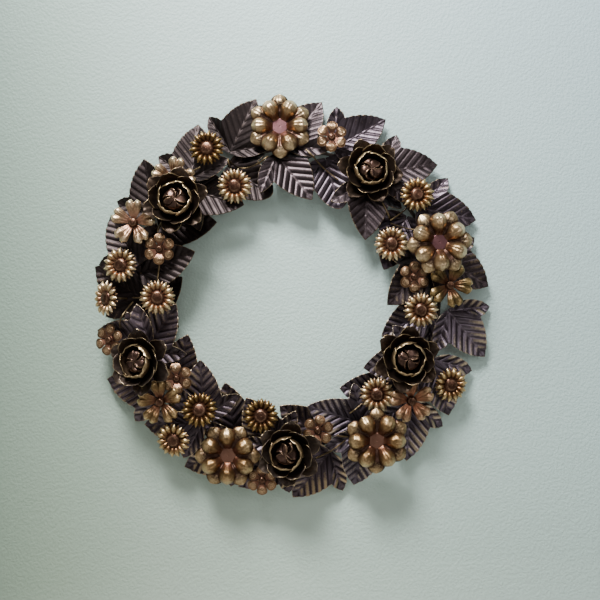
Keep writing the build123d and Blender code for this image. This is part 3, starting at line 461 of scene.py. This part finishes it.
for k, pair in LEAVES.items():
    sh = Sheet()
    for which, (o, x, n) in enumerate(pair):
        # rubbed gold on the ribs, and pleat depth, grow towards the lower right: the gold is real wear, its rise at the
        # lower right is painted light and its lack at the upper left painted shade
        gilt_and_light = float(np.clip(0.44 - 0.55 * (o[2] + 223) / 211 + 0.18 * o[0] / 211, 0.10, 0.95))
        P, wear, root = leaf_grid(100 + 2 * k + which, gilt_and_light)
        if which == 1 and k in (2, 20):
            P = curl(P, 1.25)
        X, Y, N = axes(x, n)
        sh.grid(place(P, o, X, Y, N), wear, root, N)
    sh.build(f"leaf_spray_{k:02d}", f"leaf_pair_{k:02d}", leaf_metal(pair[0][0], k), 0.7)


# ------------------------------------------------------------------ petals
def turn(P, deg):
    a = math.radians(deg)
    Q = P.copy()
    Q[..., 0] = P[..., 0] * math.cos(a) - P[..., 1] * math.sin(a)
    Q[..., 1] = P[..., 0] * math.sin(a) + P[..., 1] * math.cos(a)
    return Q


def disc(r, z, dish=0.0, nr=8, na=48):
    rr = np.linspace(0.15, r, nr)
    th = np.linspace(0, 2 * np.pi, na, endpoint=False)
    R, T = np.meshgrid(rr, th, indexing="ij")
    return np.stack([R * np.cos(T), R * np.sin(T), z - dish * (1 - (R / r) ** 2)], -1)


def lathe(profile, na=64):
    r = np.array([p[0] for p in profile], float); z = np.array([p[1] for p in profile], float)
    th = np.linspace(0, 2 * np.pi, na, endpoint=False)
    R, T = np.meshgrid(r, th, indexing="ij")
    Z = np.repeat(z[:, None], na, 1)
    return np.stack([R * np.cos(T), R * np.sin(T), Z], -1)


def rose_petal(rows, nu, nv, cup, lap, wave, rng, corner=0.24, hug=1.0):
    """One rose petal: (distance, height, half width) rows, cupped, lapped
    over its neighbour, with a waved rim."""
    r, z, w = [np.array(c, float) for c in zip(*rows)]
    s = np.concatenate([[0], np.cumsum(np.hypot(np.diff(r), np.diff(z)))]); s /= s[-1]
    u = np.linspace(0, 1, nu); v = np.linspace(-1, 1, nv)
    U, V = np.meshgrid(u, v, indexing="ij")
    # the rim is rounded: the outer corners are pulled back
    back = corner * np.abs(V) ** 2.6 + 0.022 * np.cos(V * 8.5 + rng.uniform(0, 6))
    UU = U * (1 - back * sstep(0.35, 1.0, U))
    R = smooth(s, r, UU); Z = smooth(s, z, UU); W = smooth(s, w, UU)
    ph = rng.uniform(0, 6)
    rim = sstep(0.55, 1.0, U)
    dz = wave * rim * (np.sin(V * 4.6 + ph) + 0.45 * np.sin(V * 9.5 + 2 * ph))
    # direction square to the petal in the radial plane
    sl = np.gradient(z, s); rl = np.gradient(r, s)
    tz = smooth(s, sl, UU); tr = smooth(s, rl, UU)
    ln = np.hypot(tz, tr) + 1e-9
    off = cup * V**2 * sstep(0.15, 0.8, U) + lap * V * sstep(0.1, 0.5, U) + dz
    R2 = R - off * tz / ln
    Z2 = Z + off * tr / ln
    # the petal hugs the flower's axis: hug 1 follows a circle round it
    th = W * V / np.maximum(R2, 3.0)
    P = np.stack([R2 * (1 - hug + hug * np.cos(th)), (1 - hug) * W * V + hug * R2 * np.sin(th), Z2], -1)
    # creases running up the petal
    cr = 0.35 * np.sin(V * 13 + ph) * sstep(0.2, 0.9, U)
    P[..., 2] += cr * 0.5
    return P, U, V


for i, (o, x, n) in enumerate(ROSES):
    X, Y, N = axes(x, n)
    rng = np.random.RandomState(40 + i)
    lean = (-0.13, 0.0, 0.05) if o[0] < 40 and o[2] < -150 else (0.03, 0.0, 0.04)
    Xi, Yi, Ni = axes(x, tuple(float(a_ + b_) for a_, b_ in zip(N, lean)))
    Xb, Yb, Nb = axes(x, tuple(float(a_ + 1.6 * b_) for a_, b_ in zip(N, lean)))
    # the bottom and lower-left roses take the lighter copy: painted light on their petals
    metal = M_ROSE_LIT if lean[0] < -0.1 else M_ROSE
    outer = Sheet()
    for k in range(6):
        hi = rng.uniform(-0.8, 0.8)
        P, U, V = rose_petal([(5.0, 0.75, 3.2), (12, 1.4, 6.8), (20, 3.0, 10.6), (27, 5.2 + 0.4 * hi, 13.6), (33, 8.0 + hi, 15.6), (38, 10.4 + hi, 16.0), (42, 12.2 + hi, 14.6), (45.8, 12.8 + hi, 11.8)],
                             36, 45, 3.2, 0.6, 0.45, rng, 0.42, 0.15)
        P = turn(P, 60 * k + rng.uniform(-3, 3))
        brk = 0.50 + 0.50 * np.sin(V * rng.uniform(3, 6) + rng.uniform(0, 6))
        wear = 0.95 * sstep(0.975, 0.999, U) * brk + 0.14 * sstep(0.55, 1.0, U) * (0.5 + 0.5 * np.cos(V * 9 + k)) + 0.7 * sstep(0.970, 1.0, np.abs(V)) * sstep(0.45, 0.7, U) * brk
        outer.grid(place(P, o, X, Y, N), wear, 1 - sstep(0.30, 0.86, U), N)
    outer.grid(place(disc(6.0, 0.9), o, X, Y, N), 0.0, 1.0, N, True)
    # back faces of the petals take the lighter gold: partly plating colour, partly painted light
    outer.build(f"rose_{i+1}_outer_cup", f"rose_{i+1}_outer_petals", metal, 0.6, [M_ROSE_BACK_LIT])
    inner = Sheet()
    for k in range(6):
        hi = rng.uniform(-1.0, 0.8)
        P, U, V = rose_petal([(4.6, 1.5, 3.0), (12, 3.0, 8.2), (20, 7.0, 12.8), (26.4, 11.8, 16.4), (30.2, 16.4 + 0.5 * hi, 17.4), (32.8, 20.4 + hi, 16.4), (34.4, 23.0 + hi, 14.0)],
                             36, 45, 0.8, 1.3, 0.5, rng, 0.22, 0.85)
        P = turn(P, 60 * k + 30 + rng.uniform(-4, 4))
        brk = 0.55 + 0.45 * np.sin(V * rng.uniform(3, 6) + rng.uniform(0, 6))
        wear = 1.0 * sstep(0.970, 0.998, U) * brk + 0.18 * sstep(0.6, 1.0, U) * (0.5 + 0.5 * np.cos(V * 7 + k)) + 0.6 * sstep(0.962, 1.0, np.abs(V)) * sstep(0.5, 0.75, U) * brk
        inner.grid(place(P, o, Xi, Yi, Ni), wear, 1 - sstep(0.5, 0.95, U), N)
    for k in range(5):
        hi = rng.uniform(-0.9, 0.7)
        P, U, V = rose_petal([(4.0, 2.2, 2.8), (11.0, 4.2, 8.4), (17.0, 8.4, 13.8), (20.8, 14.0, 17.0), (22.6, 19.0, 17.6), (22.0, 23.0 + 0.5 * hi, 16.8), (19.4, 25.6 + hi, 14.0)],
                             36, 45, -0.3, 1.2, 0.4, rng, 0.12, 1.0)
        P = turn(P, 72 * k + 12 + rng.uniform(-5, 5))
        brk = 0.6 + 0.4 * np.sin(V * rng.uniform(3, 6) + rng.uniform(0, 6))
        wear = 1.0 * sstep(0.95, 0.99, U) * brk + 0.35 * sstep(0.6, 0.95, U)
        inner.grid(place(P, o, Xb, Yb, Nb), wear, 1 - sstep(0.4, 0.8, U), N, False, 2)
    inner.build(f"rose_{i+1}_inner_cups", f"rose_{i+1}_inner_petals", metal, 0.6, more=[M_ROSE_BACK_LIT, M_ROSE_CUP, M_ROSE_BACK_LIT], shift=1)
    # the bud: one crumpled dome, creased where its three petals wrap
    bud = Sheet()
    zz = np.linspace(0, 1, 64); tb = np.linspace(0, 2 * np.pi, 132, endpoint=False)
    Zu, T = np.meshgrid(zz, tb, indexing="ij")
    rb = [0, 0.12, 0.28, 0.46, 0.62, 0.78, 0.90, 1.0]
    pr = smooth(rb, [4.0, 9.0, 13.4, 15.6, 14.6, 10.8, 5.6, 0.3], Zu)
    pz = smooth(rb, [3.0, 5.6, 9.6, 15.0, 19.0, 21.6, 22.4, 22.0], Zu)
    a1, a2, a3, a4, a5 = rng.uniform(0, 6, 5)
    c1 = np.sin(1.5 * T + 2.4 * Zu + a1 + 0.35 * np.sin(2 * T + a2))
    c2 = np.sin(2.5 * T - 3.2 * Zu + a3 + 0.5 * np.sin(3 * T + a4))
    v1 = np.exp(-(c1 / 0.17) ** 2); e1 = np.exp(-((np.abs(c1) - 0.42) / 0.16) ** 2)
    v2 = np.exp(-(c2 / 0.16) ** 2)
    low = np.sin(2 * T + a5) * 0.7 + np.sin(3 * T + 5 * Zu + a2) * 0.6
    on = sstep(0.22, 0.6, Zu); cap = 1 - sstep(0.93, 1.0, Zu)
    rr = pr * (1 - (0.24 * v1 + 0.07 * v2) * on * cap) + 0.8 * low * on * np.clip(pr / 8, 0, 1) + 0.5 * e1 * on
    zz2 = pz - (4.0 * v1 + 1.2 * v2) * sstep(0.35, 0.7, Zu) * cap + 0.9 * low * on * np.clip(pr / 9, 0, 1) + 0.7 * e1 * on * cap
    P = np.stack([rr * np.cos(T), rr * np.sin(T), zz2], -1)
    bud.grid(place(P, o, Xb, Yb, Nb), (0.55 * e1 + 0.22 * (low > 0.5)) * on * (1 - v1), 0.9 * v1 + 0.5 * v2 + 1 - sstep(0.1, 0.45, Zu), X, True)
    bud.build(f"rose_{i+1}_crumpled_bud", f"rose_{i+1}_bud", M_BUD, 0.0)


def puffy(rows, nu, nv, arch, sink, crease, rng, facet=0.5):
    """A pressed petal with a swollen body: rows of (distance, height, half
    width); arch lifts the middle, sink lowers the side edges."""
    r, z, w = [np.array(c, float) for c in zip(*rows)]
    t = np.linspace(0, 1, nu)
    u = 1 - (1 - t) ** 1.35
    v = np.sin(np.linspace(-np.pi / 2, np.pi / 2, nv))
    U, V = np.meshgrid(u, v, indexing="ij")
    R = r[0] + (r[-1] - r[0]) * U
    Z = smooth(r, z, R); W = smooth(r, w, R)
    b = sstep(0.0, 0.35, U) * (1 - 0.75 * sstep(0.75, 1.0, U))
    ph = rng.uniform(0, 6)
    Z = Z + arch * b * (1 - V**2) - sink * b * np.abs(V) ** 3
    Z = Z - crease * b * np.exp(-(V / 0.10) ** 2)
    Z = Z - 0.55 * crease * b * np.exp(-((np.abs(V) - 0.55) / 0.10) ** 2)
    Z = Z + facet * b * np.sin(R * 0.42 + ph + 2.0 * np.abs(V)) * (1 - V**2)
    return np.stack([R, W * V, Z], -1), U, V


for i, (o, x, n) in enumerate(BLOSSOMS):
    X, Y, N = axes(x, n)
    rng = np.random.RandomState(70 + i)
    mat = (M_BLOS, M_BLOS, M_BLOS_B, M_BLOS_B)[i]
    fr = Sheet()
    for k in range(6):
        P, U, V = puffy([(9.2, 2.0, 3.8), (12.5, 4.4, 5.6), (16.5, 8.0, 8.4), (21, 10.8, 11.0), (26, 12.0, 12.6), (31, 11.4, 12.4), (35, 9.6, 10.2), (38, 7.4, 6.2), (39.4, 6.2, 1.0)],
                        44, 37, 4.0, 7.6, 0.8, rng, 0.6)
        P = turn(P, 60 * k + rng.uniform(-2, 2))
        wear = 0.75 * sstep(0.35, 0.8, U) * (1 - V**2) + 0.6 * sstep(0.95, 1.0, np.abs(V)) + 0.4 * sstep(0.93, 1, U)
        # root: copper towards the petal base, and along the side edges painted shade where neighbouring petals meet
        fr.grid(place(P, o, X, Y, N), wear * (1 - 0.8 * sstep(0.72, 0.98, np.abs(V))), 0.9 - sstep(0.05, 0.44, U) + 0.75 * sstep(0.66, 1.0, np.abs(V)), N)
    fr.grid(place(disc(13.0, 2.10, -0.2, na=6), o, X, Y, N), 0.0, 0.0, N, True, 1)
    fr.build(f"blossom_{i+1}_front_layer", f"blossom_{i+1}_front_petals", mat, 0.7, more=[M_HEX_A if i < 2 else M_HEX_B])
    bk = Sheet()
    for k in range(6):
        P, U, V = puffy([(8.0, 0.8, 4.0), (14, 1.2, 5.6), (22, 2.2, 8.4), (30, 3.8, 11.6), (36, 4.5, 12.0), (41, 3.8, 9.2), (44.2, 2.8, 4.6), (45.4, 2.4, 0.8)],
                        40, 31, 4.0, 1.4, 0.8, rng, 0.5)
        P = turn(P, 60 * k + 30 + rng.uniform(-2, 2))
        wear = 0.6 * sstep(0.35, 0.8, U) * (1 - V**2) + 0.6 * sstep(0.95, 1.0, np.abs(V)) + 0.4 * sstep(0.93, 1, U)
        # root: near black over the inner half of each rear petal and along its sides, painted shade under and between
        # the front petals
        bk.grid(place(P, o, X, Y, N), wear * (1 - 0.8 * sstep(0.72, 0.98, np.abs(V))), 1.3 - 1.3 * sstep(0.42, 0.85, U) + 0.6 * sstep(0.70, 1.0, np.abs(V)), N)
    bk.grid(place(disc(10.0, 0.85), o, X, Y, N), 0.0, 1.0, N, True)
    bk.build(f"blossom_{i+1}_rear_layer", f"blossom_{i+1}_rear_petals", M_BLOS_R_SHADED if i < 2 else M_BLOS_BR_SHADED, 0.7)


def notched_petal(rng, nu=34, nv=41):
    u = np.linspace(0, 1, nu); v = np.linspace(-1, 1, nv)
    U, V = np.meshgrid(u, v, indexing="ij")
    tip = 31.2 - 3.6 * np.exp(-(V / 0.20) ** 2) - 4.6 * np.abs(V) ** 5
    R = 5.0 + (tip - 5.0) * U
    W = smooth([5, 8, 13, 20, 26, 29, 31.3], [2.8, 4.6, 7.4, 10.2, 11.6, 11.2, 10.2], R)
    W = W * (1 - 0.16 * sstep(0.9, 1, U) * np.abs(V))
    z = smooth([5, 7, 12, 20, 26, 31.3], [0.8, 0.9, 3.0, 6.2, 6.0, 3.2], R)
    b = sstep(0.1, 0.5, U)
    bulb = 2.3 * np.exp(-((np.abs(V) - 0.52) / 0.34) ** 2) * sstep(0.30, 0.8, U) * (1 - 0.7 * sstep(0.88, 1, U))
    pl = -1.0 * np.exp(-(V / 0.10) ** 2) * b - 0.6 * np.exp(-((np.abs(V) - 0.55) / 0.09) ** 2) * sstep(0.1, 0.4, U) * (1 - sstep(0.62, 0.86, U))
    side = -1.8 * np.abs(V) ** 4 * b
    P = np.stack([R, W * V, z + bulb + pl + side], -1)
    wear = 0.8 * sstep(0.45, 0.85, U) * np.exp(-((np.abs(V) - 0.5) / 0.35) ** 2) + 0.7 * sstep(0.94, 1.0, np.maximum(U, np.abs(V)))
    return P, U, V, wear


def boss(r, z, h, ring=0.0, na=56):
    t = np.linspace(0, 1, 22)
    rr = r * np.cos(t * np.pi / 2) + 0.02
    hh = z + h * np.sin(t * np.pi / 2)
    prof = [(r * 1.06, z - 0.2)] + list(zip(rr, hh))
    P = lathe(prof, na)
    if ring:
        d = np.hypot(P[..., 0], P[..., 1])
        P[..., 2] += ring * np.exp(-((d - r * 0.66) / (r * 0.09)) ** 2)
    return P


def boss_wear(P, o3):
    d = np.hypot(P[..., 0], P[..., 1])
    return 0.45 * np.exp(-((d / d.max() - 0.62) / 0.10) ** 2) + 0.30 * (1 - d / d.max())


for gi, (node, places) in enumerate(NOTCHED.items()):
    sh = Sheet(); stud = Sheet()
    for pi, (o, x, n) in enumerate(places):
        X, Y, N = axes(x, n)
        rng = np.random.RandomState(200 + 10 * gi + pi)
        for k in range(5):
            P, U, V, wear = notched_petal(rng)
            P = turn(P, 72 * k + rng.uniform(-2, 2))
            sh.grid(place(P, o, X, Y, N), wear, 1 - sstep(0.10, 0.62, U), N)
        sh.grid(place(disc(6.4, 0.95), o, X, Y, N), 0.0, 1.0, N, True)
        B = boss(6.4, 1.5, 5.0, 0.35)
        sh.grid(place(B, o, X, Y, N), boss_wear(B, o), 0.5, X, True, 1)
    sh.build(node + "_visual", node, M_NOTCH[gi], 0.6, more=[M_BOSS])


def ringed_petal(nu=30, nv=29):
    t = np.linspace(0, 1, nu)
    u = 1 - (1 - t) ** 1.3
    v = np.sin(np.linspace(-np.pi / 2, np.pi / 2, nv))
    U, V = np.meshgrid(u, v, indexing="ij")
    R = 4.0 + (21.8 - 4.0) * U
    W = smooth([4, 6.5, 9, 12, 15, 18.4, 20.6, 21.8], [2.2, 2.9, 4.4, 6.6, 7.5, 6.5, 4.2, 0.7], R)
    z = smooth([4, 6, 9, 14, 18, 21.0], [0.8, 0.9, 2.2, 3.6, 2.8, 1.4], R)
    y = W * V
    d = np.hypot(R - 14.8, y)
    ring = 0.35 * np.exp(-(d / 5.0) ** 4) + 0.50 * np.exp(-((d - 4.1) / 0.50) ** 2) - 0.30 * np.exp(-((d - 3.1) / 0.45) ** 2) + 0.38 * np.exp(-((d - 2.1) / 0.42) ** 2) - 0.25 * np.exp(-((d - 1.3) / 0.35) ** 2) + 0.45 * np.exp(-(d / 0.8) ** 2)
    P = np.stack([R, y, z + ring], -1)
    wear = 0.30 * np.exp(-(d / 4.8) ** 4) + 0.45 * np.exp(-((d - 4.1) / 0.6) ** 2) + 0.45 * np.exp(-((d - 2.1) / 0.5) ** 2) + 0.4 * np.exp(-(d / 0.8) ** 2) + 0.4 * sstep(0.92, 1.0, np.maximum(U, np.abs(V)))
    return P, U, V, wear


for gi, (node, places) in enumerate(RINGED.items()):
    sh = Sheet()
    for pi, (o, x, n) in enumerate(places):
        X, Y, N = axes(x, n)
        for k in range(6):
            P, U, V, wear = ringed_petal()
            P = turn(P, 60 * k)
            sh.grid(place(P, o, X, Y, N), wear, 1 - sstep(0.15, 0.6, U), N)
        sh.grid(place(disc(5.2, 0.95), o, X, Y, N), 0.0, 1.0, N, True)
        B = boss(4.4, 1.5, 3.0, 0.4, 40)
        sh.grid(place(B, o, X, Y, N), boss_wear(B, o), 0.5, X, True, 1)
    sh.build(node + "_visual", node, M_RING, 0.6, more=[M_BOSS])


for gi, (node, places) in enumerate(DAISIES.items()):
    sh = Sheet(); bs_ = Sheet()
    for pi, (o, x, n) in enumerate(places):
        X, Y, N = axes(x, n)
        rng = np.random.RandomState(300 + 10 * gi + pi)
        mi = {"daisies_top": (3, 0), "daisies_left": (0, 0, 0), "daisies_right": (2, 0, 0),
              "daisies_low_right": (0, 2), "daisies_low_left": (3, 3, 2)}[node][pi]
        for k in range(14):
            P, U, V = puffy([(7.4, 0.85, 1.2), (11, 0.9, 1.6), (15, 1.0, 2.3), (19, 1.0, 2.2), (22.0, 0.6, 1.0), (23.4, 0.3, 0.3)], 18, 11, 1.0, 0.0, 0.0, rng, 0.0)
            P = turn(P, 360 / 14 * k + 180 / 14 + rng.uniform(-1.5, 1.5))
            wear = 0.25 * (1 - V**2) * sstep(0.5, 0.8, U)
            sh.grid(place(P, o, X, Y, N), wear, 1.2 - 0.6 * sstep(0.4, 0.9, U), N, False, mi)
        for k in range(14):
            lift = rng.uniform(-0.3, 0.5)
            P, U, V = puffy([(7.6, 1.75, 1.4), (10.0, 2.6, 2.0), (13.4, 4.2, 3.2), (17.2, 4.9 + lift, 3.75), (21.0, 4.1 + lift, 2.5), (24.4, 2.6 + lift, 0.35)], 20, 13, 2.2, 0.8, 0.0, rng, 0.0)
            P = turn(P, 360 / 14 * k + rng.uniform(-2, 2))
            wear = 0.85 * (1 - V**2) * sstep(0.3, 0.7, U) + 0.5 * sstep(0.85, 1, U)
            sh.grid(place(P, o, X, Y, N), wear, 1 - sstep(0.1, 0.6, U) + 0.5 * sstep(0.7, 1.0, np.abs(V)), N, False, mi)
        sh.grid(place(disc(9.0, 1.0), o, X, Y, N), 0.0, 1.0, N, True, mi)
        B = boss(9.8, 2.0, 4.6, 0.25)
        sh.grid(place(B, o, X, Y, N), boss_wear(B, o), 0.5, X, True, 1)
    sh.build(node + "_visual", node, M_DAISY_P, 0.55, more=[M_BOSS, M_DAISY, M_DAISY_B])


# ------------------------------------------------------------------ carried-over CAD nodes
for nm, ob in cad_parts.items():
    if nm in ("hoop", "hanger_tab"):
        ob.data.materials.clear(); ob.data.materials.append(M_BAR)
    elif nm in ("flower_stems", "leaf_stems"):
        ob.data.materials.clear(); ob.data.materials.append(M_WIRE)

# ------------------------------------------------------------------ wall and floor
def wall_material():
    m, nt, bs = nodes_for("pale_sage_wall")
    a = noise(nt, 250.0, 2.0, 0.5, 0.1)
    b = noise(nt, 3.0, 2.0, 0.5)
    tc = nt.nodes.new("ShaderNodeTexCoord")
    sx = nt.nodes.new("ShaderNodeSeparateXYZ")
    nt.links.new(tc.outputs["Object"], sx.inputs[0])
    # painted light: the wall is darker and greener at the left, lightest in the middle, bluer at the right and top and
    # warmer at the bottom, standing in for the room's uneven light
    gx = mth(nt, "ADD", mth(nt, "MULTIPLY", sx.outputs["X"], 1.11), 0.5, True)
    gz = mth(nt, "ADD", mth(nt, "MULTIPLY", sx.outputs["Z"], 1.2), 0.75, True)
    painted_light_across = ramp(nt, gx, [(0.0, rgb(0.205, 0.278, 0.222)), (0.14, rgb(0.32, 0.42, 0.345)), (0.30, rgb(0.46, 0.58, 0.515)), (0.5, rgb(0.58, 0.735, 0.68)), (1.0, rgb(0.505, 0.67, 0.67))])
    painted_light_down = ramp(nt, gz, [(0.0, rgb(0.98, 0.955, 0.86)), (0.5, rgb(1.0, 1.0, 0.97)), (1.0, rgb(0.96, 0.955, 1.0))])
    painted_light_tone = mix(nt, 1.0, painted_light_across, painted_light_down, "MULTIPLY")
    col = mix(nt, ramp(nt, b, [(0.3, rgb(0, 0, 0)), (0.7, rgb(1, 1, 1))]), painted_light_tone, mix(nt, 1.0, painted_light_tone, rgb(0.955, 0.955, 0.95), "MULTIPLY"))
    nt.links.new(col, bs.inputs["Base Color"])
    bs.inputs["Roughness"].default_value = 0.62
    bp = nt.nodes.new("ShaderNodeBump")
    bp.inputs["Strength"].default_value = 0.35
    bp.inputs["Distance"].default_value = 0.0010
    nt.links.new(ramp(nt, a, [(0.38, rgb(0, 0, 0)), (0.62, rgb(1, 1, 1))]), bp.inputs["Height"])
    nt.links.new(bp.outputs[0], bs.inputs["Normal"])
    geo = nt.nodes.new("ShaderNodeNewGeometry")
    tr = nt.nodes.new("ShaderNodeBsdfTransparent")
    ms = nt.nodes.new("ShaderNodeMixShader")
    out = [x for x in nt.nodes if x.type == "OUTPUT_MATERIAL"][0]
    nt.links.new(geo.outputs["Backfacing"], ms.inputs[0])
    nt.links.new(bs.outputs[0], ms.inputs[1])
    nt.links.new(tr.outputs[0], ms.inputs[2])
    # a little of the room's light comes through, so the back isn't black
    thin = nt.nodes.new("ShaderNodeMixShader")
    thin.inputs[0].default_value = 0.10
    nt.links.new(ms.outputs[0], thin.inputs[1])
    nt.links.new(tr.outputs[0], thin.inputs[2])
    nt.links.new(thin.outputs[0], out.inputs[0])
    return m


def quad(name, pts, mat):
    me = bpy.data.meshes.new(name)
    me.from_pydata(pts, [], [(0, 1, 2, 3)])
    me.materials.append(mat)
    ob = bpy.data.objects.new(name, me)
    bpy.context.scene.collection.objects.link(ob)
    return ob


WY = 0.0008
quad("wall", [(-2.2, WY, -1.5), (2.2, WY, -1.5), (2.2, WY, 1.9), (-2.2, WY, 1.9)], wall_material())
mf, nt, bs = nodes_for("pale_floor")
bs.inputs["Base Color"].default_value = rgb(0.62, 0.61, 0.58)
bs.inputs["Roughness"].default_value = 0.7
nz = noise(nt, 40.0, 4.0)
bp = nt.nodes.new("ShaderNodeBump"); bp.inputs["Strength"].default_value = 0.1; bp.inputs["Distance"].default_value = 0.001
nt.links.new(nz, bp.inputs["Height"]); nt.links.new(bp.outputs[0], bs.inputs["Normal"])
quad("floor", [(-3, -4, -1.5), (3, -4, -1.5), (3, 3, -1.5), (-3, 3, -1.5)], mf)

# ------------------------------------------------------------------ light
w = bpy.data.worlds.new("room")
bpy.context.scene.world = w
w.use_nodes = True
bg = w.node_tree.nodes["Background"]
bg.inputs[0].default_value = (0.90, 0.88, 0.82, 1)
bg.inputs[1].default_value = 0.215


def area(name, loc, look, size, size_y, power, color):
    li = bpy.data.lights.new(name, "AREA")
    li.shape = "RECTANGLE"
    li.size, li.size_y = size, size_y
    li.energy = power
    li.color = color
    ob = bpy.data.objects.new(name, li)
    ob.location = loc
    d = Vector(look) - Vector(loc)
    ob.rotation_euler = d.to_track_quat("-Z", "Y").to_euler()
    bpy.context.scene.collection.objects.link(ob)


area("key_above", (-0.34, -0.92, 1.14), (0.0, 0.0, -0.22), 0.50, 0.46, 68, (0.945, 0.98, 1.0))
area("window_low", (-0.15, -1.55, 0.66), (0.0, 0.0, -0.22), 0.7, 0.45, 3.5, (0.95, 0.975, 1.0))
area("fill_front", (1.3, -1.8, 0.3), (0.0, 0.0, -0.22), 1.1, 1.1, 8, (0.95, 0.975, 1.0))
area("fill_low_left", (-1.5, -0.9, -0.7), (0.0, 0.0, -0.22), 0.8, 0.8, 2, (0.97, 0.97, 0.95))
area("back_fill", (-0.7, 1.5, 0.7), (0.0, 0.0, -0.22), 1.4, 1.4, 150, (1.0, 1.0, 1.0))

# ------------------------------------------------------------------ camera
cam = bpy.data.cameras.new("camera")
cam.sensor_width = 36.0
cam.lens = 51.43
cam.clip_start = 0.05
co = bpy.data.objects.new("camera", cam)
co.location = (0.0140, -1.220, -0.2258)
co.rotation_euler = (math.radians(90), 0, 0)
bpy.context.scene.collection.objects.link(co)
bpy.context.scene.camera = co
